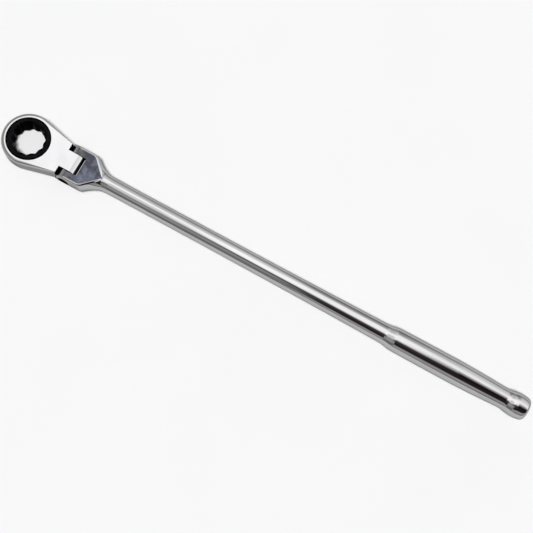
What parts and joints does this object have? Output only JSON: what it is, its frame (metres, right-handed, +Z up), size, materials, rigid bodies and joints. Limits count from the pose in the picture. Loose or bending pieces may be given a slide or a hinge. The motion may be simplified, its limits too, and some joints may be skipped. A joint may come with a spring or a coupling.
{
  "type": "ratchet wrench",
  "caption": "Extra-long flex-head ratcheting box wrench: black twelve-point drive gear in a chrome head, forked to a round bar with a swelled grip and end knob.",
  "frame": {"origin": "under the middle of the tool's length, on the surface that the grip and the knob lie on", "axes": "+X along the handle towards the knob, +Y across the head, +Z up along the socket's axis"},
  "size_m": [0.3798, 0.0352, 0.0162],
  "materials": {
    "chrome": "mirror polished chrome plate",
    "chrome_handle": "mirror polished chrome plate with fine drawn lines along the bar",
    "black_oxide": "satin black oxide on hardened steel",
    "spring_steel": "oiled spring steel",
    "ground_steel": "ground hardened steel"
  },
  "bodies": {
    "handle": {"handle": "chrome_handle", "flex_pin": "black_oxide", "detent_spring": "spring_steel"},
    "head": {"ratchet_head": "chrome", "retaining_ring": "spring_steel", "pawl_spring": "spring_steel"},
    "gear": {"drive_gear": "black_oxide"},
    "pawl": {"pawl": "ground_steel"},
    "ball": {"detent_ball": "ground_steel"}
  },
  "joints": [
    {"name": "head_flex", "type": "hinge", "parent": "handle", "child": "head", "pos_m": [-0.1399, 0, 0.00812], "axis": [0, 1, 0], "range_deg": [-90, 90]},
    {"name": "gear_turn", "type": "hinge", "parent": "head", "child": "gear", "pos_m": [-0.1723, 0, 0.00812], "axis": [0, 0, 1], "continuous": true},
    {"name": "pawl_slide", "type": "slide", "parent": "head", "child": "pawl", "axis": [0.9781, 0.2079, 0], "range_m": [0, 0.0008], "stiffness_N_per_m": 800, "springref_m": -0.0005, "deforming": ["pawl_spring"]},
    {"name": "ball_slide", "type": "slide", "parent": "handle", "child": "ball", "axis": [1, 0, 0], "range_m": [0, 0.0006], "stiffness_N_per_m": 2000, "springref_m": -0.0005, "deforming": ["detent_spring"]}
  ]
}
